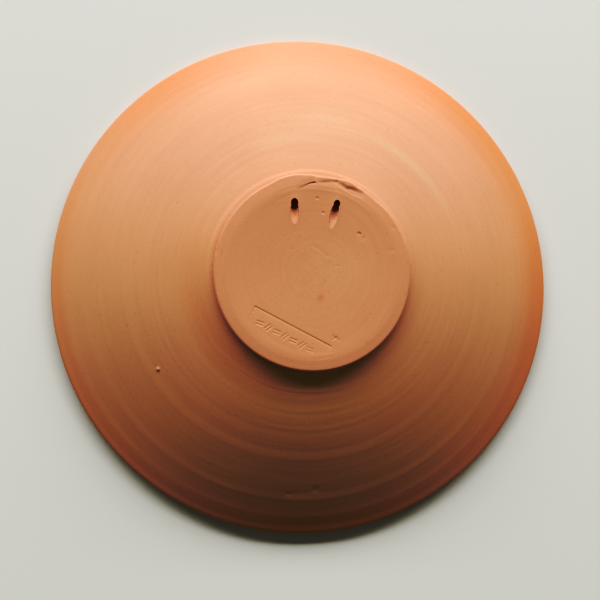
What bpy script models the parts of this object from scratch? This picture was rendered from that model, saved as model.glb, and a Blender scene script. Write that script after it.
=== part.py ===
"""Terracotta wall plate, thrown in one piece, lying face down with its foot up.

Metres, +Z up. The origin is the middle of the circle that the lip rests on, +Z is
the wheel's axis, and +Y points from the middle of the foot to the hanging holes.
"""

import math

import bmesh
import bpy
from mathutils import Matrix, Vector

# The bowl of the plate
RIM_DIAMETER = 0.270
PLATE_HEIGHT = 0.0445
BACK_BULGE = 0.0030
WALL_AT_FOOT = 0.0072
LIP_THICKNESS = 0.0060
LIP_FLAT_DEPTH = 0.0002
BASE_THICKNESS = 0.0095
DISH_CORNER_BLEND = 0.0015

# Throwing ridges left by the fingers on the back
RIDGE_PITCH = 0.0088
RIDGE_HEIGHT = 0.00018

# The solid foot, and the low collar round it that the trimming tool cut a little off
# the wheel's axis
FOOT_DIAMETER = 0.0956
FOOT_HEIGHT = 0.00445
FOOT_FLARE = 0.0017
COLLAR_STEEPER = 0.09
CHAMFER_WIDTH = 0.0053
CHAMFER_DROP = 0.00035
EDGE_ROUND = 0.0012
SKIRT_SHIFT = 0.0009
SKIRT_SHIFT_ANGLE = math.radians(140)
SKIRT_FADE = 0.014

# The two hanging holes, pushed in from the foot's face with a pointed stick
STICK_DIAMETER = 0.0042
STICK_TAPER_AT_BEND = 0.95
TUNNEL_EXIT_DIAMETER = 0.0012
TUNNEL_ROOF = 0.0009
HOLES = {
    "left": {"side": -0.0090, "inset": 0.0184, "heading": 0.0, "dip": math.radians(18.9)},
    "right": {
        "side": 0.0102, "inset": 0.0197, "heading": math.radians(13.1), "dip": math.radians(16.2),
    },
}

# The worn stamp near the foot's lower edge
STAMP_CORNER_SIDE = -0.0276
STAMP_CORNER_INSET = 0.0310
STAMP_ANGLE = math.radians(-27.6)
STAMP_LENGTH = 0.0415
STAMP_END_LENGTH = 0.0056
STAMP_ROW_DROP = 0.0060
STAMP_ROW_START = 0.0056
STAMP_MARK_PITCH = 0.00447
STAMP_MARK_COUNT = 7
STAMP_MARK_TURNS = (math.radians(8), math.radians(62))
STROKE_LENGTH = 0.0032
STROKE_WIDTH = 0.0007
STROKE_GAP = 0.0013
STROKE_DEPTH = 0.0004

# Fineness of the turned and bored surfaces
TURN_STEPS = 72
LIP_STEPS = 3
DISH_POINTS = 13
DISH_OVERRUN = 0.26
SLOPE_SAMPLE = 0.01
MERGE_DISTANCE = 0.00002
CUT_PROUD = 0.002

TERRACOTTA_COLOUR = (0.60, 0.325, 0.22, 1.0)
TERRACOTTA_ROUGHNESS = 0.85

RIM_RADIUS = RIM_DIAMETER / 2
FOOT_RADIUS = FOOT_DIAMETER / 2
BASE_RADIUS = FOOT_RADIUS + FOOT_FLARE
DISH_FLOOR = PLATE_HEIGHT - BASE_THICKNESS


def clear_scene():
    for obj in list(bpy.data.objects):
        bpy.data.objects.remove(obj, do_unlink=True)


def new_collection(name):
    collection = bpy.data.collections.new(name)
    bpy.context.scene.collection.children.link(collection)
    return collection


def terracotta():
    material = bpy.data.materials.new("terracotta")
    material.use_nodes = True
    shader = material.node_tree.nodes["Principled BSDF"]
    shader.inputs["Base Color"].default_value = TERRACOTTA_COLOUR
    shader.inputs["Roughness"].default_value = TERRACOTTA_ROUGHNESS
    shader.inputs["Metallic"].default_value = 0.0
    return material


def wall_point(along, side):
    """A point (radius, height) of the wall, from the foot (0) to the lip (1).

    side is +1 on the back, -1 in the dish and 0 on the line midway through the clay.
    """
    start = Vector((BASE_RADIUS, PLATE_HEIGHT - FOOT_HEIGHT - WALL_AT_FOOT / 2))
    lip = Vector((RIM_RADIUS - LIP_THICKNESS / 2, LIP_THICKNESS / 2 - LIP_FLAT_DEPTH))
    point = start.lerp(lip, along)
    point.y += 4 * BACK_BULGE * along * (1 - along)
    run = lip - start
    run.y += 4 * BACK_BULGE * (1 - 2 * along)
    outward = Vector((-run.y, run.x)).normalized()
    thickness = WALL_AT_FOOT + (LIP_THICKNESS - WALL_AT_FOOT) * along
    return point + outward * side * thickness / 2


def side_heights():
    """Where the foot's upright side starts under its rounded edge, and ends on the collar."""
    top = PLATE_HEIGHT - CHAMFER_DROP - EDGE_ROUND
    collar_end = wall_point(0, 1)
    along_wall = wall_point(SLOPE_SAMPLE, 1) - collar_end
    steepness = COLLAR_STEEPER - along_wall.y / along_wall.x
    return top, collar_end.y + (collar_end.x - FOOT_RADIUS) * steepness


def foot_profile():
    """The foot's face, its worn chamfer, the rounded edge, and the side down to the collar."""
    edge_height = PLATE_HEIGHT - CHAMFER_DROP
    side_top, side_bottom = side_heights()
    half_turn = EDGE_ROUND * math.sqrt(0.5)
    return [
        Vector((0, PLATE_HEIGHT)),
        Vector((FOOT_RADIUS - CHAMFER_WIDTH, PLATE_HEIGHT)),
        Vector((FOOT_RADIUS - EDGE_ROUND, edge_height)),
        Vector((FOOT_RADIUS - EDGE_ROUND + half_turn, side_top + half_turn)),
        Vector((FOOT_RADIUS, side_top)),
        Vector((FOOT_RADIUS, side_bottom)),
    ]


def back_profile():
    """The back from the foot to the lip, each throwing ridge a low crest."""
    length = (wall_point(1, 0) - wall_point(0, 0)).length
    ridges = max(1, round(length / RIDGE_PITCH))
    points = []
    for step in range(2 * ridges):
        along = step / (2 * ridges)
        crest = RIDGE_HEIGHT * (step % 2)
        outward = (wall_point(along, 1) - wall_point(along, 0)).normalized()
        points.append(wall_point(along, 1) + outward * crest)
    return points


def lip_profile():
    """The round lip: over the widest circle, under to its worn flat, into the dish."""
    centre = wall_point(1, 0)
    radius = LIP_THICKNESS / 2
    outward = wall_point(1, 1) - centre
    tangent = math.atan2(outward.y, outward.x)
    flat = math.asin(centre.y / radius)
    angles = [tangent * (1 - step / LIP_STEPS) for step in range(LIP_STEPS)]
    angles += [-flat * step / LIP_STEPS for step in range(LIP_STEPS + 1)]
    angles += [flat - math.pi, tangent - math.pi]
    return [centre + radius * Vector((math.cos(a), math.sin(a))) for a in angles]


def dish_profile():
    """The dish side, from the lip in to the flat floor at the wheel's axis."""
    points = []
    for step in range(1, DISH_POINTS + 1):
        along = 1 - (1 + DISH_OVERRUN) * step / DISH_POINTS
        point = wall_point(along, -1)
        near_wall = math.exp((DISH_FLOOR - point.y) / DISH_CORNER_BLEND)
        point.y = DISH_FLOOR - DISH_CORNER_BLEND * math.log(1 + near_wall)
        points.append(point)
    points.append(Vector((0, DISH_FLOOR)))
    return points


def skirt_weight(radius):
    """How far the skirt's shift reaches: none at the face's edge, all at its foot."""
    if radius <= BASE_RADIUS:
        return max(0.0, (radius - FOOT_RADIUS) / (BASE_RADIUS - FOOT_RADIUS))
    faded = min(1.0, (radius - BASE_RADIUS) / SKIRT_FADE)
    return 0.5 * (1 + math.cos(math.pi * faded))


def turned_plate(collection):
    """The thrown body: one profile swept round the wheel's axis."""
    outer = foot_profile() + back_profile()
    points = outer + lip_profile() + dish_profile()
    mesh = bpy.data.meshes.new("plate")
    edges = [(i, i + 1) for i in range(len(points) - 1)]
    mesh.from_pydata([(p.x, 0, p.y) for p in points], edges, [])
    plate = bpy.data.objects.new("plate", mesh)
    collection.objects.link(plate)
    plate.data.materials.append(terracotta())

    skirt = plate.vertex_groups.new(name="skirt")
    for index, point in enumerate(outer):
        weight = skirt_weight(point.x)
        if weight > 0:
            skirt.add([index], weight, "REPLACE")

    sweep = plate.modifiers.new("wheel", "SCREW")
    sweep.axis = "Z"
    sweep.angle = 2 * math.pi
    sweep.screw_offset = 0.0
    sweep.steps = TURN_STEPS
    sweep.render_steps = TURN_STEPS
    sweep.use_smooth_shade = True
    sweep.use_merge_vertices = True
    sweep.merge_threshold = MERGE_DISTANCE

    shift = {"X": math.cos(SKIRT_SHIFT_ANGLE), "Y": math.sin(SKIRT_SHIFT_ANGLE)}
    for direction, share in shift.items():
        push = plate.modifiers.new("skirt shift " + direction, "DISPLACE")
        push.direction = direction
        push.vertex_group = "skirt"
        push.mid_level = 0.0
        push.strength = SKIRT_SHIFT * share
    return plate


def tunnel_path(inset, dip):
    """Points (along, height over the face, radius) of one hanging hole.

    The stick dips under the face at its full width. Its tip then runs level and
    comes out half way down the foot's side.
    """
    radius = STICK_DIAMETER / 2
    tip = TUNNEL_EXIT_DIAMETER / 2
    above = (radius + CUT_PROUD) / math.tan(dip) + radius
    lip = radius / math.sin(dip)
    reach = inset + FOOT_FLARE + SKIRT_SHIFT + CUT_PROUD
    bend_drop = lip * math.tan(dip)
    run_drop = PLATE_HEIGHT - sum(side_heights()) / 2
    half_way = (lip + reach) / 2
    half_radius = (radius + tip) / 2
    return [
        (-above, above * math.tan(dip), radius),
        (0.0, 0.0, radius),
        (lip, -bend_drop, radius * STICK_TAPER_AT_BEND),
        (half_way, -(bend_drop + run_drop) / 2 - TUNNEL_ROOF / 2, half_radius),
        (reach, -run_drop, tip),
    ]


def tunnel_cutter(name, hole, collection):
    """A stick-shaped cutter for one hanging hole, as a closed mesh."""
    curve = bpy.data.curves.new(name + " stick", "CURVE")
    curve.dimensions = "3D"
    curve.bevel_depth = 1.0
    curve.bevel_resolution = 2
    curve.use_fill_caps = True
    path = tunnel_path(hole["inset"], hole["dip"])
    spline = curve.splines.new("POLY")
    spline.points.add(len(path) - 1)
    mouth = Vector((hole["side"], FOOT_RADIUS - hole["inset"], PLATE_HEIGHT))
    turn = Matrix.Rotation(-hole["heading"], 3, "Z")
    for point, (along, height, radius) in zip(spline.points, path):
        point.co = (mouth + turn @ Vector((0, along, height))).to_4d()
        point.radius = radius
    guide = bpy.data.objects.new(name + " stick", curve)
    collection.objects.link(guide)

    evaluated = guide.evaluated_get(bpy.context.evaluated_depsgraph_get())
    mesh = bpy.data.meshes.new_from_object(evaluated)
    weld(mesh)
    cutter = bpy.data.objects.new(name + " hanging hole cutter", mesh)
    cutter.matrix_world = guide.matrix_world
    bpy.data.objects.remove(guide, do_unlink=True)
    return as_cutter(cutter, collection)


def weld(mesh):
    shape = bmesh.new()
    shape.from_mesh(mesh)
    bmesh.ops.remove_doubles(shape, verts=shape.verts, dist=MERGE_DISTANCE)
    bmesh.ops.recalc_face_normals(shape, faces=shape.faces)
    shape.to_mesh(mesh)
    shape.free()


def as_cutter(obj, collection):
    collection.objects.link(obj)
    obj.hide_render = True
    obj.display_type = "WIRE"
    return obj


def stamp_strokes():
    """Strokes (along, across, length, turn) of the stamp, from its upper left corner.

    along runs down the long line and across runs from it to the foot's edge.
    """
    strokes = [
        (STAMP_LENGTH / 2, 0.0, STAMP_LENGTH, 0.0),
        (0.0, STAMP_END_LENGTH / 2, STAMP_END_LENGTH, math.pi / 2),
    ]
    for mark in range(STAMP_MARK_COUNT):
        along = STAMP_ROW_START + mark * STAMP_MARK_PITCH
        turn = STAMP_MARK_TURNS[mark % 2]
        for side in (-0.5, 0.5):
            shift = Vector((0, side * STROKE_GAP))
            shift.rotate(Matrix.Rotation(turn, 2))
            strokes.append((along + shift.x, STAMP_ROW_DROP + shift.y, STROKE_LENGTH, turn))
    return strokes


def stamp_cutter(collection):
    """All the stamp's strokes as one mesh of slim boxes that stand in the face."""
    shape = bmesh.new()
    corner = Matrix.Translation((STAMP_CORNER_SIDE, STAMP_CORNER_INSET - FOOT_RADIUS, PLATE_HEIGHT))
    corner = corner @ Matrix.Rotation(STAMP_ANGLE, 4, "Z")
    height = STROKE_DEPTH + CUT_PROUD
    lift = CUT_PROUD - height / 2
    for along, across, length, turn in stamp_strokes():
        place = corner @ Matrix.Translation((along, -across, lift)) @ Matrix.Rotation(turn, 4, "Z")
        size = Matrix.Diagonal((length, STROKE_WIDTH, height, 1))
        bmesh.ops.create_cube(shape, size=1.0, matrix=place @ size)
    mesh = bpy.data.meshes.new("stamp cutter")
    shape.to_mesh(mesh)
    shape.free()
    return as_cutter(bpy.data.objects.new("stamp cutter", mesh), collection)


def cut(target, cutter):
    boolean = target.modifiers.new(cutter.name, "BOOLEAN")
    boolean.operation = "DIFFERENCE"
    boolean.solver = "EXACT"
    boolean.use_self = True
    boolean.object = cutter


def build():
    clear_scene()
    parts = new_collection("wall plate")
    cutters = new_collection("cutters")
    plate = turned_plate(parts)
    for name, hole in HOLES.items():
        cut(plate, tunnel_cutter(name, hole, cutters))
    cut(plate, stamp_cutter(cutters))


build()
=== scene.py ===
import math

import bpy
import numpy as np
from mathutils import Matrix, Vector, noise


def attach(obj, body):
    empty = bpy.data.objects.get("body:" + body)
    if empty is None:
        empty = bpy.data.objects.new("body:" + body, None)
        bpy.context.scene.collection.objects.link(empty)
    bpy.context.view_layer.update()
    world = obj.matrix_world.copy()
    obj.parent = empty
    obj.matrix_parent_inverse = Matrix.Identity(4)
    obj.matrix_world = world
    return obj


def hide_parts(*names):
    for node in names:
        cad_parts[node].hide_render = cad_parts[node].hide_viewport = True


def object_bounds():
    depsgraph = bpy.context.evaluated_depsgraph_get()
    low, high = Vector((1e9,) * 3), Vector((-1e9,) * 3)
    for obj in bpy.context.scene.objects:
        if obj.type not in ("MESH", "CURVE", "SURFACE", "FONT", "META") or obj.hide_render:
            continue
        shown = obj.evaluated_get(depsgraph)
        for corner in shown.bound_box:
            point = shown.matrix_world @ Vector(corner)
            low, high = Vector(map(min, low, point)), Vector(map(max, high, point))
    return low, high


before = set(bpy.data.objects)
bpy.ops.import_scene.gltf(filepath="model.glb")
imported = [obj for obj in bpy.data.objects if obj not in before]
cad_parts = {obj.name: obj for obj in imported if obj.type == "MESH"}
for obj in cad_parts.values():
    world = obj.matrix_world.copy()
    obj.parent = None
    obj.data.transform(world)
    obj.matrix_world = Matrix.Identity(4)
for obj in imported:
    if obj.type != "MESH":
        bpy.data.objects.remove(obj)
cad_low, cad_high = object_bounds()


# The camera
# It looks almost straight down on the back of the plate as it lies face down, from a
# little left of the foot and a little below it. Up in the picture is the plate's +Y.

MM = 0.001
LENS = 36.0
SENSOR = 36.0
LOOK_AT = Vector((-2.73, -10.45, 0.0)) * MM
CAMERA_DISTANCE = 330.3 * MM
CAMERA_LEAN = math.radians(6.23)
CAMERA_LEANS_TOWARDS = math.radians(220.5)

to_camera = Vector((
    math.sin(CAMERA_LEAN) * math.cos(CAMERA_LEANS_TOWARDS),
    math.sin(CAMERA_LEAN) * math.sin(CAMERA_LEANS_TOWARDS),
    math.cos(CAMERA_LEAN),
))
right = Vector((0, 1, 0)).cross(to_camera).normalized()
aim = Matrix((right, to_camera.cross(right), to_camera)).transposed().to_4x4()
camera = bpy.data.objects.new("camera", bpy.data.cameras.new("camera"))
camera.data.lens = LENS
camera.data.sensor_width = SENSOR
camera.matrix_world = Matrix.Translation(LOOK_AT + to_camera * CAMERA_DISTANCE) @ aim
bpy.context.scene.collection.objects.link(camera)
bpy.context.scene.camera = camera


# The floor
# A plain pale matt surface, far wider than the plate, which lies on its lip at z = 0.

FLOOR_WIDTH = 12.0
FLOOR_COLOUR = (0.66, 0.655, 0.64, 1.0)
FLOOR_ROUGHNESS = 0.9
FLOOR_SHINE = 0.2

bpy.ops.object.select_all(action="DESELECT")
bpy.ops.mesh.primitive_plane_add(size=FLOOR_WIDTH)
floor = bpy.context.object
floor.name = "floor"
floor_paint = bpy.data.materials.new("pale matt floor")
floor_paint.use_nodes = True
floor_shader = floor_paint.node_tree.nodes["Principled BSDF"]
floor_shader.inputs["Base Color"].default_value = FLOOR_COLOUR
floor_shader.inputs["Roughness"].default_value = FLOOR_ROUGHNESS
floor_shader.inputs["Specular IOR Level"].default_value = FLOOR_SHINE
floor.data.materials.append(floor_paint)


# The studio light
# One soft lamp stands low beyond the hanging holes, so its light rakes over the back
# and the throwing marks show. A weak even light from all round fills the shadows.

LAMP_DISTANCE = 4.0
LAMP_WIDTH = 9.0
LAMP_HEIGHT = 1.0
LAMP_POWER = 302.0
LAMP_HEADING = math.radians(89.5)
LAMP_ELEVATION = math.radians(28.7)
FILL_STRENGTH = 0.11
FILL_COLOUR = (1.0, 1.0, 0.72, 1.0)
BACKDROP_STRENGTH = 0.36
BACKDROP_COLOUR = (1.0, 1.0, 1.0, 1.0)

to_lamp = Vector((
    math.cos(LAMP_ELEVATION) * math.cos(LAMP_HEADING),
    math.cos(LAMP_ELEVATION) * math.sin(LAMP_HEADING),
    math.sin(LAMP_ELEVATION),
))
lamp = bpy.data.objects.new("soft lamp", bpy.data.lights.new("soft lamp", "AREA"))
lamp.data.shape = "RECTANGLE"
lamp.data.size = LAMP_WIDTH
lamp.data.size_y = LAMP_HEIGHT
lamp.data.energy = LAMP_POWER
lamp.rotation_euler = to_lamp.to_track_quat("Z", "Y").to_euler()
lamp.location = to_lamp * LAMP_DISTANCE
bpy.context.scene.collection.objects.link(lamp)

# The backdrop that the camera sees is brighter than the light that comes from all round.
world = bpy.data.worlds.new("studio")
world.use_nodes = True
sky = world.node_tree
fill = sky.nodes["Background"]
fill.inputs["Strength"].default_value = FILL_STRENGTH
fill.inputs["Color"].default_value = FILL_COLOUR
backdrop = sky.nodes.new("ShaderNodeBackground")
backdrop.inputs["Strength"].default_value = BACKDROP_STRENGTH
backdrop.inputs["Color"].default_value = BACKDROP_COLOUR
seen = sky.nodes.new("ShaderNodeLightPath")
choose = sky.nodes.new("ShaderNodeMixShader")
sky.links.new(seen.outputs["Is Camera Ray"], choose.inputs["Fac"])
sky.links.new(fill.outputs["Background"], choose.inputs[1])
sky.links.new(backdrop.outputs["Background"], choose.inputs[2])
sky.links.new(choose.outputs["Shader"], sky.nodes["World Output"].inputs["Surface"])
bpy.context.scene.world = world

# The film has strong contrast, with a deep toe: (light that falls on it, light it keeps).
FILM_CURVE = [
    (0.04, 0.034), (0.07, 0.049), (0.12, 0.096), (0.20, 0.209), (0.30, 0.314),
    (0.45, 0.445), (0.52, 0.492), (0.58, 0.538), (0.62, 0.572), (0.70, 0.635), (0.82, 0.70),
]

film = bpy.context.scene.view_settings
film.view_transform = "Standard"
film.look = "Very High Contrast"
film.use_curve_mapping = True
_, _, _, all_colours = film.curve_mapping.curves
for light_in, light_out in FILM_CURVE:
    all_colours.points.new(light_in, light_out)
film.curve_mapping.update()


# The plate
# A shallow plate of red clay, thrown in one piece on the wheel, cut off with a wire,
# turned over when leather hard and trimmed to a solid low foot. Fired and unglazed.

RIM_RADIUS = (cad_high.x - cad_low.x) / 2 / MM
PLATE_HEIGHT = cad_high.z / MM
BACK_BULGE = 3.0
WALL_AT_FOOT = 7.2
LIP_THICKNESS = 6.0
LIP_FLAT_DEPTH = 0.2
BASE_THICKNESS = 9.5
DISH_CORNER_BLEND = 1.5
DISH_OVERRUN = 0.26

# The face is a little under the plate's full height, to leave room for clay pushed up on
# it. The collar is steeper than the wall by these amounts, at its top and at its bottom.
FOOT_RADIUS = 47.8
FOOT_HEIGHT = 4.45
ROOM_OVER_FACE = 0.3
FOOT_FLARE = 1.7
COLLAR_GAP = 0.03
COLLAR_STEEPER = (-0.14, 0.17)
CHAMFER_WIDTH = 5.3
CHAMFER_DROP = 0.35
EDGE_ROUND = 1.2

# How finely the section is divided, in steps round, steps in mm and rows.
WHEEL_STEPS = 300
FACE_STEP = 1.2
CHAMFER_ROWS = 6
EDGE_ROWS = 5
SIDE_ROWS = 2
COLLAR_ROWS = 7
BACK_STEP = 1.15
LIP_ROWS = 8
DISH_STEP = 2.6
DISH_FLOOR_STEP = 5.2
SLOPE_SAMPLE = 0.01
MERGE_DISTANCE = 0.01

FACE_LEVEL = PLATE_HEIGHT - ROOM_OVER_FACE
BASE_RADIUS = FOOT_RADIUS + FOOT_FLARE
DISH_FLOOR = PLATE_HEIGHT - BASE_THICKNESS


def wall_point(along, side):
    """(radius, height) of the wall from foot (0) to lip (1), on the back (1) or in the dish (-1)."""
    start = Vector((BASE_RADIUS, PLATE_HEIGHT - FOOT_HEIGHT - WALL_AT_FOOT / 2))
    lip = Vector((RIM_RADIUS - LIP_THICKNESS / 2, LIP_THICKNESS / 2 - LIP_FLAT_DEPTH))
    point = start.lerp(lip, along)
    point.y += 4 * BACK_BULGE * along * (1 - along)
    run = lip - start
    run.y += 4 * BACK_BULGE * (1 - 2 * along)
    outward = Vector((-run.y, run.x)).normalized()
    thickness = WALL_AT_FOOT + (LIP_THICKNESS - WALL_AT_FOOT) * along
    return point + outward * side * thickness / 2


def plate_profile():
    """Half of the plate's section, from the middle of the foot over the lip to the dish."""
    flat = FOOT_RADIUS - CHAMFER_WIDTH
    rows = round(flat / FACE_STEP)
    points = [Vector((flat * row / rows, FACE_LEVEL)) for row in range(rows)]

    edge = Vector((FOOT_RADIUS - EDGE_ROUND, FACE_LEVEL - CHAMFER_DROP))
    flat_end = Vector((flat, FACE_LEVEL))
    points += [flat_end.lerp(edge, row / CHAMFER_ROWS) for row in range(CHAMFER_ROWS)]

    for row in range(EDGE_ROWS):
        turn = math.pi / 2 * row / EDGE_ROWS
        points.append(edge + EDGE_ROUND * Vector((math.sin(turn), math.cos(turn) - 1)))

    top = edge + EDGE_ROUND * Vector((1, -1))
    bottom = wall_point(0, 1)
    run = wall_point(SLOPE_SAMPLE, 1) - bottom
    inner, outer = COLLAR_STEEPER[0] - run.y / run.x, COLLAR_STEEPER[1] - run.y / run.x
    width = bottom.x - top.x - COLLAR_GAP
    collar = []
    for row in range(COLLAR_ROWS):
        t = row / COLLAR_ROWS
        height = width * (inner * (1 - t) + (outer - inner) * (1 - t * t) / 2)
        collar.append(Vector((bottom.x - width * (1 - t), bottom.y + height)))
    points += [top.lerp(collar[0], row / SIDE_ROWS) for row in range(SIDE_ROWS)] + collar

    length = (wall_point(1, 1) - wall_point(0, 1)).length
    rows = round(length / BACK_STEP)
    points += [wall_point(row / rows, 1) for row in range(rows)]

    centre = wall_point(1, 0)
    radius = LIP_THICKNESS / 2
    outward = wall_point(1, 1) - centre
    over = math.atan2(outward.y, outward.x)
    flat_angle = math.asin(centre.y / radius)
    angles = [over + (-flat_angle - over) * row / LIP_ROWS for row in range(LIP_ROWS + 1)]
    under = [flat_angle - math.pi, over - math.pi]
    angles += [under[0] + (under[1] - under[0]) * row / LIP_ROWS for row in range(LIP_ROWS)]
    points += [centre + radius * Vector((math.cos(a), math.sin(a))) for a in angles]

    rows = round(length * (1 + DISH_OVERRUN) / DISH_STEP)
    for row in range(rows + 1):
        point = wall_point(1 - (1 + DISH_OVERRUN) * row / rows, -1)
        near_wall = math.exp((DISH_FLOOR - point.y) / DISH_CORNER_BLEND)
        point.y = DISH_FLOOR - DISH_CORNER_BLEND * math.log(1 + near_wall)
        points.append(point)
    rim_of_floor = points[-1].x
    rows = round(rim_of_floor / DISH_FLOOR_STEP)
    points += [Vector((rim_of_floor * (1 - row / rows), DISH_FLOOR)) for row in range(1, rows + 1)]
    return points


def throw(profile):
    """One vertex, drawn out along the profile and spun once round the wheel's axis."""
    bpy.ops.object.select_all(action="DESELECT")
    bpy.ops.mesh.primitive_plane_add(size=MM)
    bpy.ops.object.mode_set(mode="EDIT")
    bpy.ops.mesh.select_mode(type="VERT")
    bpy.ops.mesh.select_all(action="SELECT")
    bpy.ops.mesh.merge(type="CENTER")
    bpy.ops.transform.translate(value=(profile[0].x * MM, 0, profile[0].y * MM))
    for here, there in zip(profile, profile[1:]):
        step = (there - here) * MM
        bpy.ops.mesh.extrude_region_move(TRANSFORM_OT_translate={"value": (step.x, 0, step.y)})
    bpy.ops.mesh.select_all(action="SELECT")
    bpy.ops.mesh.spin(steps=WHEEL_STEPS, angle=2 * math.pi, center=(0, 0, 0), axis=(0, 0, 1))
    bpy.ops.mesh.select_all(action="SELECT")
    bpy.ops.mesh.remove_doubles(threshold=MERGE_DISTANCE * MM)
    bpy.ops.mesh.normals_make_consistent(inside=False)
    bpy.ops.object.mode_set(mode="OBJECT")
    return bpy.context.object


plate = throw(plate_profile())
plate.name = "thrown_plate"


# The plate is divided more finely where the stamp, the stick, a grain of grit and knocks
# marked it. Small marks are (radius, angle), and the grit's path is (angle, radius).

STAMP_CORNER = Vector((-27.6, -16.8))
STAMP_ANGLE = math.radians(-27.6)
STAMP_LENGTH = 41.5
STAMP_PANEL = 8.8
STAMP_MARGIN, STAMP_END_MARGIN = 1.5, 2.0
STAMP_SCARS_ALONG, STAMP_SCARS_ABOVE = 5.0, 5.5
STAMP_CUTS = 3
FOLD_FIELD = {"from x": -16.0, "to x": 27.0, "from y": 19.0, "to y": 50.0}
FOLD_REACH = 51.0
FOLD_CUTS = 2
SCRATCH_FIELDS = [
    {"from x": -3.0, "to x": 10.0, "from y": 4.0, "to y": 17.0, "cuts": 2},
    {"from x": -10.0, "to x": -7.0, "from y": 47.0, "to y": 57.0, "cuts": 5},
    {"from x": 11.5, "to x": 16.0, "from y": 46.5, "to y": 57.0, "cuts": 5},
]
SMALL_MARKS = [(88.5, 212.0), (111.5, 264.9), (108.6, 272.0)]
MARK_FIELD = 3.5
GRIT_PATH = [(213, 56.9), (223, 58.9), (231, 58.6), (250, 59.2), (268, 58.4), (285, 57.9)]
GRIT_ANGLES, GRIT_RADII = (212, 286), (55.8, 59.9)
WALL_CUTS = 3
DISH_BELOW, DISH_WITHIN = PLATE_HEIGHT - 9.0, 60
FACES_OUT = -0.02


def stamp_frame(x, y):
    """How far along the stamp's long line each point lies, and how far below that line."""
    east, north = x - STAMP_CORNER.x, y - STAMP_CORNER.y
    along = east * math.cos(STAMP_ANGLE) + north * math.sin(STAMP_ANGLE)
    below = east * math.sin(STAMP_ANGLE) - north * math.cos(STAMP_ANGLE)
    return along, below


def triples(items, name):
    """A vector that each of the items has, as one row of three numbers for each."""
    values = np.empty(3 * len(items), np.float32)
    items.foreach_get(name, values)
    return values.reshape(-1, 3)


def refine(choose, cuts):
    """Cuts the faces whose middles are chosen into smaller ones, but not the dish's floor."""
    mesh = plate.data
    x, y, z = triples(mesh.polygons, "center").T / MM
    off_floor = z > DISH_BELOW * (np.hypot(x, y) < DISH_WITHIN)
    mesh.vertices.foreach_set("select", np.zeros(len(mesh.vertices), bool))
    mesh.edges.foreach_set("select", np.zeros(len(mesh.edges), bool))
    mesh.polygons.foreach_set("select", choose(x, y) & off_floor)
    bpy.ops.object.mode_set(mode="EDIT")
    bpy.ops.mesh.select_mode(type="FACE")
    bpy.ops.mesh.subdivide(number_cuts=cuts)
    bpy.ops.object.mode_set(mode="OBJECT")


def on_stamp(x, y):
    """On the stamp, or on the small scars above the end of its line."""
    along, below = stamp_frame(x, y)
    above = np.where(along > STAMP_LENGTH - STAMP_SCARS_ALONG, STAMP_SCARS_ABOVE, STAMP_MARGIN)
    beside_line = (along > -STAMP_MARGIN) & (along < STAMP_LENGTH + STAMP_END_MARGIN)
    return beside_line & (below > -above) & (below < STAMP_PANEL)


def within(field, x, y):
    return (x > field["from x"]) & (x < field["to x"]) & (y > field["from y"]) & (y < field["to y"])


def on_folds(x, y):
    """Round the hanging holes, and where the foot's edge folded above them."""
    return within(FOLD_FIELD, x, y) & (np.hypot(x, y) < FOLD_REACH)


def near_mark(x, y):
    """Close to one of the small marks on the wall."""
    near = np.zeros(len(x), bool)
    for at_radius, at_angle in SMALL_MARKS:
        turn = math.radians(at_angle)
        near |= np.hypot(x - at_radius * math.cos(turn), y - at_radius * math.sin(turn)) < MARK_FIELD
    return near


def near_grit(x, y):
    """In the strip of the wall beside the foot that the path of the grit lies in."""
    turn, distance = np.degrees(np.arctan2(y, x)) % 360, np.hypot(x, y)
    near = (turn > GRIT_ANGLES[0]) & (turn < GRIT_ANGLES[1])
    return near & (distance > GRIT_RADII[0]) & (distance < GRIT_RADII[1])


refine(on_stamp, STAMP_CUTS)
refine(on_folds, FOLD_CUTS)
for field in SCRATCH_FIELDS:
    refine(lambda x, y: within(field, x, y) & ~within(FOLD_FIELD, x, y), field["cuts"])
refine(near_mark, WALL_CUTS)
refine(near_grit, WALL_CUTS)

points = triples(plate.data.vertices, "co").astype(float) / MM
upward = triples(plate.data.vertex_normals, "vector")[:, 2]
outside = upward > FACES_OUT


def rise(value, start, end):
    """0 up to start, 1 from end on, and a smooth rise between them."""
    t = np.clip((value - start) / (end - start), 0, 1)
    return t * t * (3 - 2 * t)


# The trimming tool cut the skirt of the foot a little off the wheel's axis.

SKIRT_SHIFT = 0.9
SKIRT_SHIFT_ANGLE = math.radians(140)
SKIRT_FADE = 14.0

radius = np.hypot(points[:, 0], points[:, 1])
on_skirt = np.clip((radius - FOOT_RADIUS) / (BASE_RADIUS - FOOT_RADIUS), 0, 1)
beyond = np.clip((radius - BASE_RADIUS) / SKIRT_FADE, 0, 1)
shift = SKIRT_SHIFT * on_skirt * 0.5 * (1 + np.cos(math.pi * beyond)) * outside
points[:, 0] += shift * math.cos(SKIRT_SHIFT_ANGLE)
points[:, 1] += shift * math.sin(SKIRT_SHIFT_ANGLE)


# The potter's fingers left a spiral of flat bands on the back. Each band is one pass:
# where it starts and ends below the foot, and how many degrees steeper than the even
# curve the clay lies at its start and at its end.

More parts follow.
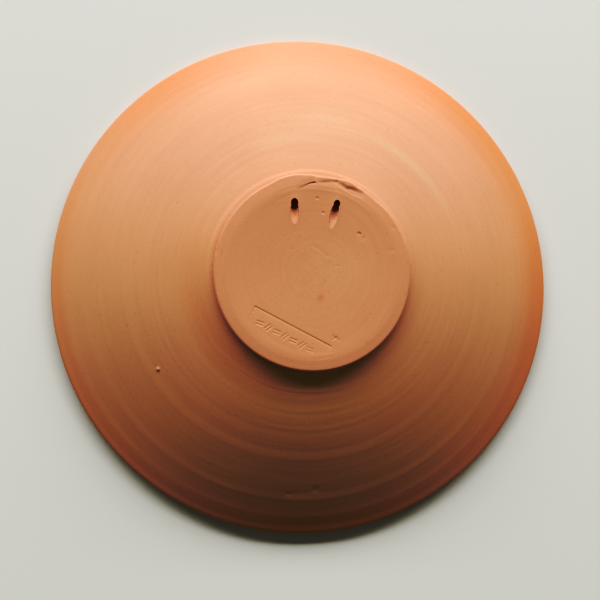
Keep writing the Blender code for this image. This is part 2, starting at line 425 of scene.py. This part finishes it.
SPIRAL_PITCH = 9.5
SPIRAL_SEAM = math.radians(90)
THROWING_PASSES = [
    (57.0, 72.5, 0.5, -1.7),
    (73.5, 82.5, 0.7, -1.5),
    (84.0, 91.3, 1.4, -2.6),
    (93.0, 97.5, 2.3, -0.5),
    (98.5, 102.5, 0.8, -0.4),
    (103.7, 106.5, 1.0, -0.6),
    (107.5, 113.2, 0.7, -2.4),
    (115.0, 124.0, 1.7, -2.6),
    (126.8, 133.0, 0.4, -3.5),
]
PASS_SAMPLE = 0.1
SEAM_FADE = (0.02, 0.22)
WALL_FROM, WALL_TO = (52, 56), (130, 134)

x, y, z = points.T
radius = np.hypot(x, y)
angle = np.arctan2(y, x)
turned = ((angle - SPIRAL_SEAM) / (2 * math.pi)) % 1
wound = radius + SPIRAL_PITCH * (turned - 0.5)
samples = np.arange(BASE_RADIUS, RIM_RADIUS, PASS_SAMPLE)
stops = [stop for start, end, _, _ in THROWING_PASSES for stop in (start, end)]
tilts = [tilt for _, _, first, last in THROWING_PASSES for tilt in (first, last)]
fall = np.cumsum(np.tan(np.radians(np.interp(samples, stops, tilts)))) * PASS_SAMPLE
fall -= fall[-1] * (samples - samples[0]) / (samples[-1] - samples[0])
off_seam = rise(turned, *SEAM_FADE) * rise(1 - turned, *SEAM_FADE)
on_wall = rise(radius, *WALL_FROM) * (1 - rise(radius, *WALL_TO)) * outside
lift = -np.interp(wound, samples, fall) * off_seam * on_wall


# The wall is a little uneven all over. Finer turning lines run with the spiral, deeper in
# some places than in others: (how many to each of its turns, height, where they start).

UNEVEN_SIZE = 26.0
UNEVEN_HEIGHT = 0.035
FINE_LINES = [(3, 0.009, 0.0), (2, 0.011, 1.3), (1, 0.012, 0.4)]
FINE_LINES_VARY = 1.4

bumps = np.array([noise.noise(Vector(point) / UNEVEN_SIZE) for point in points])
lift += UNEVEN_HEIGHT * bumps * on_wall
for count, height, start in FINE_LINES:
    line = np.sin(2 * math.pi * wound * count / SPIRAL_PITCH + start)
    lift += height * (1 + FINE_LINES_VARY * bumps) * line * on_wall


# A grain of grit under the trimming tool drew one thin scratch beside the foot.

GRIT_WIDTH, GRIT_DEPTH, GRIT_FADE = 0.30, 0.035, 12.0

round_angle = np.degrees(angle) % 360
grit_radius = np.interp(round_angle, *zip(*GRIT_PATH))
first, last = GRIT_PATH[0][0], GRIT_PATH[-1][0]
grit_shown = rise(round_angle, first, first + GRIT_FADE) * (1 - rise(round_angle, last - GRIT_FADE, last))
lift -= GRIT_DEPTH * np.exp(-(((radius - grit_radius) / GRIT_WIDTH) ** 2)) * grit_shown * outside


# In the dish one plain spiral runs from the middle out to just inside the lip.

DISH_SPIRAL_PITCH = 9.0
DISH_SPIRAL_HEIGHT = 0.12
DISH_SPIRAL_FROM, DISH_SPIRAL_TO = (4, 14), (118, 126)
FACES_DOWN = -0.3

dish_wound = radius / DISH_SPIRAL_PITCH + turned
in_dish = (upward < FACES_DOWN) * rise(radius, *DISH_SPIRAL_FROM) * (1 - rise(radius, *DISH_SPIRAL_TO))
lift += DISH_SPIRAL_HEIGHT * np.sin(2 * math.pi * dish_wound) * in_dish


# Knocks in the soft clay: (radius, angle, length inwards, length sideways, depth).
# The last two stand up instead: a crumb that stuck to the back and a burr on the rim.

KNOCKS = [
    (111.5, 264.9, 0.9, 1.3, 0.16),
    (108.6, 272.0, 1.5, 2.0, 0.22),
    (110.5, 268.5, 2.4, 9.0, 0.05),
    (105.0, 270.5, 2.0, 5.0, 0.03),
    (101.0, 262.0, 2.4, 5.0, 0.03),
    (116.5, 262.0, 3.0, 9.0, 0.05),
    (129.0, 272.0, 2.8, 20.0, 0.08),
    (133.0, 270.0, 11.0, 26.0, 0.30),
    (88.5, 212.0, 0.8, 0.7, -0.55),
    (133.6, 166.0, 0.8, 0.8, -0.5),
]

for at_radius, at_angle, inwards, sideways, depth in KNOCKS:
    off_angle = (angle - math.radians(at_angle) + math.pi) % (2 * math.pi) - math.pi
    away = ((radius - at_radius) / inwards) ** 2 + (radius * off_angle / sideways) ** 2
    lift -= depth * np.exp(-away) * outside


# The foot's face sank a little as it dried, inside a low ring that the tool left. Arcs
# of the trimming tool show on it: (radius, from angle, to angle, depth).

FACE_RING = 40.2
FACE_SINK = 0.40
RING_HEIGHT, RING_WIDTH = 0.045, 0.9
TOOL_ARCS = [
    (38.3, 105, 165, 0.030),
    (35.6, 108, 160, 0.028),
    (33.0, 112, 150, 0.022),
    (20.5, -75, 35, 0.018),
    (16.0, -80, 40, 0.018),
]
ARC_WIDTH, ARC_FADE = 0.8, 15
FOOT_MARGIN = 0.5

on_foot = outside & (radius < FOOT_RADIUS + FOOT_MARGIN)
lift -= FACE_SINK * np.clip(1 - (radius / FACE_RING) ** 2, 0, 1) * on_foot
lift += RING_HEIGHT * np.exp(-(((radius - FACE_RING) / RING_WIDTH) ** 2)) * on_foot
degrees = np.degrees(angle)
for at_radius, start, end, depth in TOOL_ARCS:
    shown = rise(degrees, start, start + ARC_FADE) * (1 - rise(degrees, end - ARC_FADE, end))
    lift -= depth * shown * np.exp(-(((radius - at_radius) / ARC_WIDTH) ** 2)) * on_foot


# The stick that made the hanging holes pushed the clay up round their mouths and out
# at the foot's edge, where it folded over and cracked. Each mouth's upper end is rounded:
# the end's radius, how much longer than wide it is and how far it lies to the side.

MOUTHS = [
    {
        "x": -9.0, "y": 29.4, "heading": 0.0, "dip": math.radians(18.9), "width": 4.2,
        "end": 1.95, "end stretch": 1.3, "end aside": 0.0,
    },
    {
        "x": 10.2, "y": 28.1, "heading": math.radians(13.1), "dip": math.radians(16.2), "width": 4.2,
        "end": 1.75, "end stretch": 1.3, "end aside": 0.15,
    },
]
MOUND_HEIGHT, MOUND_WIDTH, MOUND_BELOW_MOUTH = 0.30, 1.7, 0.35

# How far the foot's edge is pushed out: (angle, distance). The push sets in between two
# radii, and has its full strength from a little below the face.
EDGE_PUSHES = [
    (38, 0.0), (49, -0.5), (60.6, -0.3), (69, 0.4), (77, -0.5),
    (86, -0.7), (92, 0.0), (102, 0.8), (107, 0.7), (118, 0.0),
]
PUSH_FROM, PUSH_TOP = (38, 46), 1.0

# Each crease: its path, how strong it is at each point, how far the clay dips into it,
# the step up out of it, the width of that step, and how much further the flap swells.
CREASES = [
    {
        "path": [(-13.5, 37.0), (-8.0, 39.7), (-5.4, 40.9), (-2.3, 42.7), (0.9, 43.8), (2.2, 44.1)],
        "strength": [0.0, 0.05, 0.45, 0.8, 1.0, 0.0],
        "dip": 0.21, "step": 0.16, "width": 0.5, "swell": 0.15,
    },
    {
        "path": [(0.5, 43.9), (5.8, 44.0), (10.9, 44.4), (12.5, 43.9)],
        "strength": [0.0, 1.0, 0.9, 0.0],
        "dip": 0.12, "step": 0.12, "width": 1.8, "swell": 0.15,
    },
    {
        "path": [
            (9.6, 45.0), (11.6, 44.2), (13.6, 42.2), (16.0, 40.2), (19.2, 40.0), (22.4, 39.1), (25.0, 37.6),
        ],
        "strength": [0.0, 0.55, 0.8, 1.0, 0.9, 0.5, 0.0],
        "dip": 0.10, "step": 0.44, "width": 2.0, "swell": 0.20,
    },
    {
        "path": [(9.0, 44.0), (11.1, 43.1), (14.8, 39.8), (19.0, 37.6), (22.9, 36.6), (25.5, 35.6)],
        "strength": [0.0, -0.8, -1.0, -1.0, -0.8, 0.0],
        "dip": 0.0, "step": 0.13, "width": 0.6, "swell": 0.0,
    },
]
DIP_WIDTH, SWELL_WIDTH, CREASE_REACH = 1.0, 3.0, 5.0


def beside(path, x, y):
    """Each point's nearest place on a path, as a number of path steps, and its distance to the left."""
    best = np.full(len(x), 1e9)
    place, left = np.zeros(len(x)), np.zeros(len(x))
    for index, ((x0, y0), (x1, y1)) in enumerate(zip(path, path[1:])):
        run = math.hypot(x1 - x0, y1 - y0)
        ax, ay = (x1 - x0) / run, (y1 - y0) / run
        along = np.clip((x - x0) * ax + (y - y0) * ay, 0, run)
        dx, dy = x - x0 - along * ax, y - y0 - along * ay
        distance = np.hypot(dx, dy)
        nearer = distance < best
        best = np.where(nearer, distance, best)
        place = np.where(nearer, index + along / run, place)
        left = np.where(nearer, np.sign(ax * dy - ay * dx) * distance, left)
    return place, left


for mouth in MOUTHS:
    east, north = x - mouth["x"], y - mouth["y"]
    ahead = east * math.sin(mouth["heading"]) + north * math.cos(mouth["heading"])
    aside = east * math.cos(mouth["heading"]) - north * math.sin(mouth["heading"])
    half_length = mouth["width"] / 2 / math.sin(mouth["dip"])
    outside_mouth = np.hypot(aside / (mouth["width"] / 2), ahead / half_length)
    reach = (outside_mouth - 1) * mouth["width"] / 2
    towards_edge = MOUND_BELOW_MOUTH + (1 - MOUND_BELOW_MOUTH) * rise(ahead, -half_length, half_length)
    mound = MOUND_HEIGHT * np.exp(-np.clip(reach, 0, None) / MOUND_WIDTH) * towards_edge
    lift += mound * on_foot


def eased(value, stops, heights):
    """A smooth line through the heights at the stops, level at each of them."""
    result = np.full(len(value), float(heights[0]))
    for start, end, low, high in zip(stops, stops[1:], heights, heights[1:]):
        result += (high - low) * rise(value, start, end)
    return result


for crease in CREASES:
    place, left = beside(crease["path"], x, y)
    strength = eased(place, range(len(crease["strength"])), crease["strength"])
    dips = -crease["dip"] * np.exp(-np.abs(left) / DIP_WIDTH)
    steps = (crease["dip"] + crease["step"]) * rise(left, 0, crease["width"])
    steps += crease["swell"] * rise(left, 0, SWELL_WIDTH)
    steps -= (crease["step"] + crease["swell"]) * rise(left, SWELL_WIDTH, SWELL_WIDTH + CREASE_REACH)
    steps -= crease["dip"] * (1 - np.exp(-np.clip(left, 0, None) / DIP_WIDTH)) * (left > 0)
    lift += strength * (dips + steps) * on_foot * (y > 0)

push = eased(degrees, *zip(*EDGE_PUSHES)) * rise(radius, *PUSH_FROM)
push *= rise(z, PLATE_HEIGHT - FOOT_HEIGHT, FACE_LEVEL - PUSH_TOP) * (radius < BASE_RADIUS) * outside


# The potter's stamp, worn and shallow: a panel pressed a little deeper along its upper
# line, with a row of marks in it that are no letters. Beside it are small scars.

LINE_DEPTH, LINE_WIDTH = 0.16, 0.27
PANEL_SINK, PANEL_SLOPE = 0.13, 2.2
PANEL_FROM, PANEL_TO = (-0.6, 0.2), (STAMP_LENGTH - 1.5, STAMP_LENGTH + 0.5)
PANEL_BELOW = (-0.2, 0.3)
SIDE_LINE_DEPTH, SIDE_LINE_WEAR, SIDE_LINE_WAVE = 0.096, 0.4, 3.1
SIDE_LINE_FROM, SIDE_LINE_TO = (-0.3, 0.1), (5.2, 5.6)
ROW_BELOW, ROW_START, MARK_PITCH = 6.0, 5.6, 4.47
MARK_TURNS = [8, 62, 8, 62, 8, 62, 8]
MARK_WEAR = [1.0, 0.85, 0.9, 0.7, 1.0, 0.75, 0.6]
STROKE_LENGTH, STROKE_GAP = 3.2, 1.3
STROKE_WIDTH, STROKE_DEPTH = 0.34, 0.17

# Each scar: where the tool went in and came out, how wide and how deep it cut.
SCARS = [
    ((-0.3, 13.1), (6.9, 7.5), 0.28, 0.06),
    ((1.8, 12.6), (8.2, 7.4), 0.25, 0.035),
    ((-4.0, -12.4), (2.4, -19.0), 0.30, 0.035),
    ((22.2, 19.2), (22.8, 18.6), 0.42, 0.32),
    ((22.8, 18.6), (24.4, 15.9), 0.30, 0.18),
    ((38.2, 11.1), (38.6, 10.7), 0.45, 0.20),
    ((11.9, 2.9), (12.1, 2.9), 0.38, 0.12),
    ((14.5, -3.4), (14.7, -3.4), 0.38, 0.12),
    ((-21.8, -5.6), (-21.7, -5.6), 0.45, 0.08),
    ((-4.0, -10.1), (-3.9, -10.1), 0.45, 0.08),
    ((1.6, 35.9), (2.3, 35.7), 0.36, 0.26),
    ((4.6, 28.8), (5.2, 28.6), 0.42, 0.24),
    ((9.4, -30.9), (12.1, -32.5), 0.50, 0.12),
    ((9.1, -32.4), (11.7, -31.3), 0.40, 0.12),
    ((39.2, 22.5), (39.7, 21.6), 0.50, 0.16),
    ((-46.3, 10.1), (-46.0, 9.1), 0.50, 0.16),
    ((-8.5, 48.5), (-8.4, 54.0), 0.26, 0.13),
    ((13.0, 48.5), (14.3, 54.5), 0.28, 0.16),
]


def trough(x, y, start, end, width, depth):
    """How deep a tool drawn from start to end has cut each point."""
    _, left = beside([start, end], x, y)
    return depth * np.exp(-((left / width) ** 2))


along, below = stamp_frame(x, y)
panel = rise(along, *PANEL_FROM) * (1 - rise(along, *PANEL_TO))
pressed = LINE_DEPTH * np.exp(-((below / LINE_WIDTH) ** 2))
pressed += PANEL_SINK * rise(below, *PANEL_BELOW) * np.exp(-np.clip(below, 0, None) / PANEL_SLOPE)
lift -= pressed * panel * on_foot
side_line = SIDE_LINE_DEPTH * np.exp(-((along / LINE_WIDTH) ** 2))
side_line *= 1 - SIDE_LINE_WEAR * (1 - np.sin(below * SIDE_LINE_WAVE))
lift -= side_line * rise(below, *SIDE_LINE_FROM) * (1 - rise(below, *SIDE_LINE_TO)) * on_foot

for mark, turn in enumerate(MARK_TURNS):
    lean = math.radians(turn)
    for side in (-0.5, 0.5):
        mid = Vector((
            ROW_START + mark * MARK_PITCH - side * STROKE_GAP * math.sin(lean),
            ROW_BELOW - side * STROKE_GAP * math.cos(lean),
        ))
        half = Vector((math.cos(lean), -math.sin(lean))) * STROKE_LENGTH / 2
        depth = STROKE_DEPTH * MARK_WEAR[mark]
        lift -= trough(along, below, tuple(mid - half), tuple(mid + half), STROKE_WIDTH, depth) * on_foot

for start, end, width, depth in SCARS:
    lift -= trough(x, y, start, end, width, depth) * outside

points[:, 2] += lift
points[:, 0] += push * np.cos(angle)
points[:, 1] += push * np.sin(angle)
plate.data.vertices.foreach_set("co", (points * MM).astype(np.float32).ravel())
plate.data.update()


# Two hanging holes, pushed in from the foot's face with a pointed stick. Each dips
# under the face at its full width and comes out small in the foot's side. The face has
# sunk a little at their mouths. The rounded ends are deeper than wide, with low middles.

STICK_SIDES = 24
STICK_PROUD = 2.0
STICK_AT_BEND, STICK_HALF_WAY = 0.95, 0.3
EXIT_WIDTH = 0.35
EXIT_DEPTH = 2.9
MOUTH_SINK = 0.17
MOUTH_LEVEL = FACE_LEVEL - MOUTH_SINK
END_DEEPER, END_DROP = 1.6, 1.0
SMOOTH_UP_TO = math.radians(42)


def stick(mouth):
    """The stick as it stood in the clay, made as a chain of rings, each drawn out of the last."""
    slope = math.tan(mouth["dip"])
    half_length = mouth["width"] / 2 / math.sin(mouth["dip"])
    reach = BASE_RADIUS + SKIRT_SHIFT + STICK_PROUD - mouth["y"]
    start = -(mouth["width"] / 2 + STICK_PROUD) / slope
    rings = [
        (start, -start * slope, mouth["width"]),
        (0.0, 0.0, mouth["width"]),
        (half_length, -half_length * slope, mouth["width"] * STICK_AT_BEND),
        ((half_length + reach) / 2, -EXIT_DEPTH, mouth["width"] * STICK_HALF_WAY),
        (reach, -EXIT_DEPTH, EXIT_WIDTH),
    ]
    bpy.ops.object.select_all(action="DESELECT")
    first = rings[0]
    bpy.ops.mesh.primitive_circle_add(
        vertices=STICK_SIDES, radius=first[2] / 2 * MM, fill_type="NGON",
        location=(0, first[0] * MM, first[1] * MM), rotation=(math.pi / 2, 0, 0),
    )
    made = bpy.context.object
    bpy.ops.object.transform_apply(location=True, rotation=True, scale=True)
    bpy.ops.object.mode_set(mode="EDIT")
    for here, there in zip(rings, rings[1:]):
        step = (0, (there[0] - here[0]) * MM, (there[1] - here[1]) * MM)
        bpy.ops.mesh.extrude_region_move(TRANSFORM_OT_translate={"value": step})
        middle = (0, there[0] * MM, there[1] * MM)
        bpy.ops.transform.resize(value=(there[2] / here[2],) * 3, center_override=middle)
    bpy.ops.mesh.select_all(action="SELECT")
    bpy.ops.mesh.normals_make_consistent(inside=False)
    bpy.ops.object.mode_set(mode="OBJECT")
    made.rotation_euler.z = -mouth["heading"]
    made.location = Vector((mouth["x"], mouth["y"], MOUTH_LEVEL)) * MM
    bpy.ops.object.transform_apply(location=True, rotation=True, scale=True)
    return made


def blunt_end(mouth):
    """The rounded upper end of the mouth, where the stick was rocked upright."""
    half_length = mouth["width"] / 2 / math.sin(mouth["dip"])
    ahead = half_length - mouth["end"] * mouth["end stretch"]
    bpy.ops.object.select_all(action="DESELECT")
    bpy.ops.mesh.primitive_uv_sphere_add(
        segments=STICK_SIDES, ring_count=STICK_SIDES // 2, radius=mouth["end"] * MM,
    )
    made = bpy.context.object
    made.scale = (1, mouth["end stretch"], END_DEEPER)
    made.rotation_euler.z = -mouth["heading"]
    turn = Matrix.Rotation(-mouth["heading"], 3, "Z")
    middle = Vector((mouth["x"], mouth["y"], MOUTH_LEVEL - END_DROP))
    made.location = (middle + turn @ Vector((mouth["end aside"], ahead, 0))) * MM
    bpy.ops.object.transform_apply(location=True, rotation=True, scale=True)
    return made


def take_up_plate():
    """The plate alone is selected, and active."""
    bpy.ops.object.select_all(action="DESELECT")
    plate.select_set(True)
    bpy.context.view_layer.objects.active = plate


def cut_away(tool):
    """The tool's shape is cut out of the plate, and the tool is gone."""
    take_up_plate()
    cut = plate.modifiers.new("cut", "BOOLEAN")
    cut.operation = "DIFFERENCE"
    cut.solver = "EXACT"
    cut.object = tool
    bpy.ops.object.modifier_apply(modifier=cut.name)
    bpy.data.objects.remove(tool, do_unlink=True)


for mouth in MOUTHS:
    cut_away(stick(mouth))
    cut_away(blunt_end(mouth))

take_up_plate()
bpy.ops.object.shade_smooth_by_angle(angle=SMOOTH_UP_TO)


# Soft masks for the colour: painted highlights on the top side, which faces the lamp; the rim's
# real redder band, with a painted redder shade beside the foot's lower left; a painted yellower
# tint on the lower side, which faces away from the lamp; and a painted highlight on the ring
# beside the foot. Each patch is (radius, half width, angle, half angle, strength).

# Painted highlights: the top side, which faces the lamp, is paler, broadly and in narrow bands along the
# throwing rings.
HIGHLIGHT_PATCHES = [
    (79.0, 15.0, 88, 26, 0.55),
    (81.5, 4.0, 85, 14, 0.90),
    (69.5, 3.0, 96, 18, 0.80),
    (78.0, 2.4, 50, 24, 0.85),
    (110.0, 11.0, 99, 22, 0.50),
    (108.5, 3.5, 107, 16, 0.75),
]
# The rim's real redder band, and one painted redder shade beside the foot's lower left, where the foot
# shades the wall.
RED_RIM_AND_SHADE_PATCHES = [
    (132.0, 16.0, 42, 42, 1.0),
    (132.0, 16.0, 127, 26, 0.85),
    (131.0, 12.0, 0, 40, 1.0),
    (131.0, 5.0, 180, 60, 0.45),
    (131.0, 9.0, 271, 26, 0.85),
    # Painted shade: redder beside the foot's lower left.
    (57.0, 9.0, 205, 45, 0.35),
]
# Painted shade colour: the lower side, which faces away from the lamp, is tinted yellower.
SHADED_SIDE_PATCHES = [
    (70.0, 26.0, 272, 46, 0.8),
    (105.0, 26.0, 270, 55, 1.0),
]
# A painted highlight: the ring beside the foot is paler on the side that faces the lamp.
RING_HIGHLIGHT_PATCHES = [(50.4, 1.1, 130, 70, 0.5)]

# The foot fired rosier than the wall, but for two places: (x, y, half size along x, half
# size along y, strength). A spot of iron has come out on it.
PALE_PLACES_ON_FOOT = [(-10.0, -19.0, 19.0, 13.0, 0.75), (11.0, 1.0, 20.0, 19.0, 0.95)]
ROSY_MARGIN = 0.3
SPOT = Vector((3.6, -12.4))
SPOT_LENGTH, SPOT_WIDTH, SPOT_TURN = 2.0, 1.3, math.radians(38)


def keep_mask(name, mask):
    """The mask becomes an attribute of the plate's points, which its material reads."""
    layer = plate.data.attributes.new(name, "FLOAT", "POINT")
    layer.data.foreach_set("value", mask.astype(np.float32))


def patched(patches):
    """The mask of some patches, each strongest in its middle."""
    mask = np.zeros(len(radius))
    for at_radius, half_width, at_angle, half_angle, strength in patches:
        off_angle = (np.degrees(angle) - at_angle + 180) % 360 - 180
        away = ((radius - at_radius) / half_width) ** 2 + (off_angle / half_angle) ** 2
        mask = np.maximum(mask, strength * np.exp(-away))
    return mask


x, y, z = triples(plate.data.vertices, "co").T / MM
radius, angle = np.hypot(x, y), np.arctan2(y, x)
keep_mask("painted highlight", patched(HIGHLIGHT_PATCHES))
keep_mask("red rim and painted shade", patched(RED_RIM_AND_SHADE_PATCHES))
keep_mask("painted shaded side", patched(SHADED_SIDE_PATCHES))
keep_mask("painted ring highlight", patched(RING_HIGHLIGHT_PATCHES))

east, north = x - SPOT.x, y - SPOT.y
lengthwise = (east * math.cos(SPOT_TURN) + north * math.sin(SPOT_TURN)) / SPOT_LENGTH
across = (north * math.cos(SPOT_TURN) - east * math.sin(SPOT_TURN)) / SPOT_WIDTH
over_dish = z > DISH_FLOOR + BASE_THICKNESS / 2
keep_mask("iron spot", np.exp(-((lengthwise**2 + across**2) ** 2)) * over_dish)

rosy = 1.0 * (radius < FOOT_RADIUS + ROSY_MARGIN) * (z > PLATE_HEIGHT - FOOT_HEIGHT)
for at_x, at_y, half_x, half_y, strength in PALE_PLACES_ON_FOOT:
    rosy *= 1 - strength * np.exp(-(((x - at_x) / half_x) ** 2) - ((y - at_y) / half_y) ** 2)
keep_mask("rosy foot", rosy)


# Fired red clay, matt and dry: cloudy over centimetres, streaked where the wheel
# turned it under the fingers, and grainy close to, with darker specks of grog.

CLAY = (0.60, 0.325, 0.22, 1.0)
# Painted highlight colour for the top side that faces the lamp.
HIGHLIGHT_CLAY = (0.61, 0.375, 0.255, 1.0)
# The rim's real red, also used for the painted redder shade beside the foot.
RED_RIM_AND_SHADE_CLAY = (0.598, 0.264, 0.152, 1.0)
# Painted shade colour for the lower side that faces away from the lamp.
SHADED_SIDE_CLAY = (0.61, 0.368, 0.212, 1.0)
# Painted highlight colour for the ring beside the foot.
RING_HIGHLIGHT_CLAY = (0.67, 0.365, 0.245, 1.0)
ROSY_CLAY = (0.588, 0.299, 0.207, 1.0)
SPOT_CLAY = (0.585, 0.262, 0.165, 1.0)
CLAY_ROUGHNESS = 0.9
CLAY_SHINE = 0.15
CLOUD_SIZE, CLOUD_SPREAD = 34.0, 0.09
STREAK_WIDTH, STREAK_SPREAD = 1.7, 0.10
GRAIN_SIZE, GRAIN_SPREAD = 0.70, 0.17
SPECK_SIZE, SPECK_DARKNESS = 1.5, 0.12
SPECK_FROM, SPECK_TO = 0.70, 0.78
GRAIN_RELIEF, STREAK_RELIEF = 0.012, 0.014

clay = bpy.data.materials.new("terracotta")
clay.use_nodes = True
nodes, links = clay.node_tree.nodes, clay.node_tree.links
shader = nodes["Principled BSDF"]
shader.inputs["Roughness"].default_value = CLAY_ROUGHNESS
shader.inputs["Specular IOR Level"].default_value = CLAY_SHINE


def combine(operation, first, second):
    """One step of arithmetic on two numbers or sockets."""
    node = nodes.new("ShaderNodeMath")
    node.operation = operation
    for socket, value in zip(node.inputs, (first, second)):
        if isinstance(value, (int, float)):
            socket.default_value = value
        else:
            links.new(value, socket)
    return node.outputs["Value"]


def grains(place, size, detail):
    """Noise with the given size in mm, from 0 to 1."""
    node = nodes.new("ShaderNodeTexNoise")
    node.inputs["Scale"].default_value = 1 / (size * MM)
    node.inputs["Detail"].default_value = detail
    links.new(place, node.inputs["Vector"])
    return node.outputs["Fac"]


def masked(name):
    """One of the masks kept on the plate's points."""
    node = nodes.new("ShaderNodeAttribute")
    node.attribute_name = name
    return node.outputs["Fac"]


def tint(colour, towards, amount):
    """The colour, as far towards another as the amount says."""
    # The node's colours are its inputs 6 and 7 and its output 2.
    node = nodes.new("ShaderNodeMix")
    node.data_type = "RGBA"
    links.new(amount, node.inputs["Factor"])
    if isinstance(colour, tuple):
        node.inputs[6].default_value = colour
    else:
        links.new(colour, node.inputs[6])
    node.inputs[7].default_value = towards
    return node.outputs[2]


# The wheel's streaks: noise that changes fast outwards and slowly on the way round. Its
# place is the distance from the axis, with the direction from the axis made very short.
object_place = nodes.new("ShaderNodeTexCoord").outputs["Object"]
split = nodes.new("ShaderNodeSeparateXYZ")
links.new(object_place, split.inputs[0])
flat_place = nodes.new("ShaderNodeCombineXYZ")
links.new(split.outputs["X"], flat_place.inputs["X"])
links.new(split.outputs["Y"], flat_place.inputs["Y"])
from_axis = nodes.new("ShaderNodeVectorMath")
from_axis.operation = "LENGTH"
links.new(flat_place.outputs[0], from_axis.inputs[0])
direction = nodes.new("ShaderNodeVectorMath")
direction.operation = "NORMALIZE"
links.new(flat_place.outputs[0], direction.inputs[0])
shortened = nodes.new("ShaderNodeVectorMath")
shortened.operation = "SCALE"
links.new(direction.outputs["Vector"], shortened.inputs[0])
shortened.inputs["Scale"].default_value = STREAK_WIDTH * MM
round_place = nodes.new("ShaderNodeSeparateXYZ")
links.new(shortened.outputs["Vector"], round_place.inputs[0])
wheel_place = nodes.new("ShaderNodeCombineXYZ")
links.new(from_axis.outputs["Value"], wheel_place.inputs["X"])
links.new(round_place.outputs["X"], wheel_place.inputs["Y"])
links.new(round_place.outputs["Y"], wheel_place.inputs["Z"])

clouds = grains(object_place, CLOUD_SIZE, detail=3)
streaks = grains(wheel_place.outputs[0], STREAK_WIDTH, detail=4)
grain = grains(object_place, GRAIN_SIZE, detail=3)
specks = nodes.new("ShaderNodeMapRange")
links.new(grains(object_place, SPECK_SIZE, detail=1), specks.inputs["Value"])
specks.inputs["From Min"].default_value = SPECK_FROM
specks.inputs["From Max"].default_value = SPECK_TO

# Painted highlights on the top side that faces the lamp.
colour = tint(CLAY, HIGHLIGHT_CLAY, masked("painted highlight"))
# Painted shade colour on the lower side that faces away from the lamp.
colour = tint(colour, SHADED_SIDE_CLAY, masked("painted shaded side"))
# The rim's real red band, and the painted redder shade beside the foot.
colour = tint(colour, RED_RIM_AND_SHADE_CLAY, masked("red rim and painted shade"))
# Painted highlight on the ring beside the foot.
colour = tint(colour, RING_HIGHLIGHT_CLAY, masked("painted ring highlight"))
colour = tint(colour, ROSY_CLAY, masked("rosy foot"))
colour = tint(colour, SPOT_CLAY, masked("iron spot"))
brightness = combine("MULTIPLY", clouds, CLOUD_SPREAD)
for pattern, spread in ((streaks, STREAK_SPREAD), (grain, GRAIN_SPREAD)):
    brightness = combine("ADD", brightness, combine("MULTIPLY", pattern, spread))
darkest = 1 - (CLOUD_SPREAD + STREAK_SPREAD + GRAIN_SPREAD) / 2
brightness = combine("ADD", brightness, darkest)
brightness = combine("SUBTRACT", brightness, combine("MULTIPLY", specks.outputs[0], SPECK_DARKNESS))
shaded = nodes.new("ShaderNodeVectorMath")
shaded.operation = "SCALE"
links.new(colour, shaded.inputs[0])
links.new(brightness, shaded.inputs["Scale"])
links.new(shaded.outputs["Vector"], shader.inputs["Base Color"])

relief = combine("MULTIPLY", grain, GRAIN_RELIEF)
relief = combine("ADD", relief, combine("MULTIPLY", streaks, STREAK_RELIEF))
bump = nodes.new("ShaderNodeBump")
bump.inputs["Strength"].default_value = 1.0
bump.inputs["Distance"].default_value = MM
links.new(relief, bump.inputs["Height"])
links.new(bump.outputs["Normal"], shader.inputs["Normal"])
plate.data.materials.clear()
plate.data.materials.append(clay)

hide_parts("plate")
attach(plate, "root")
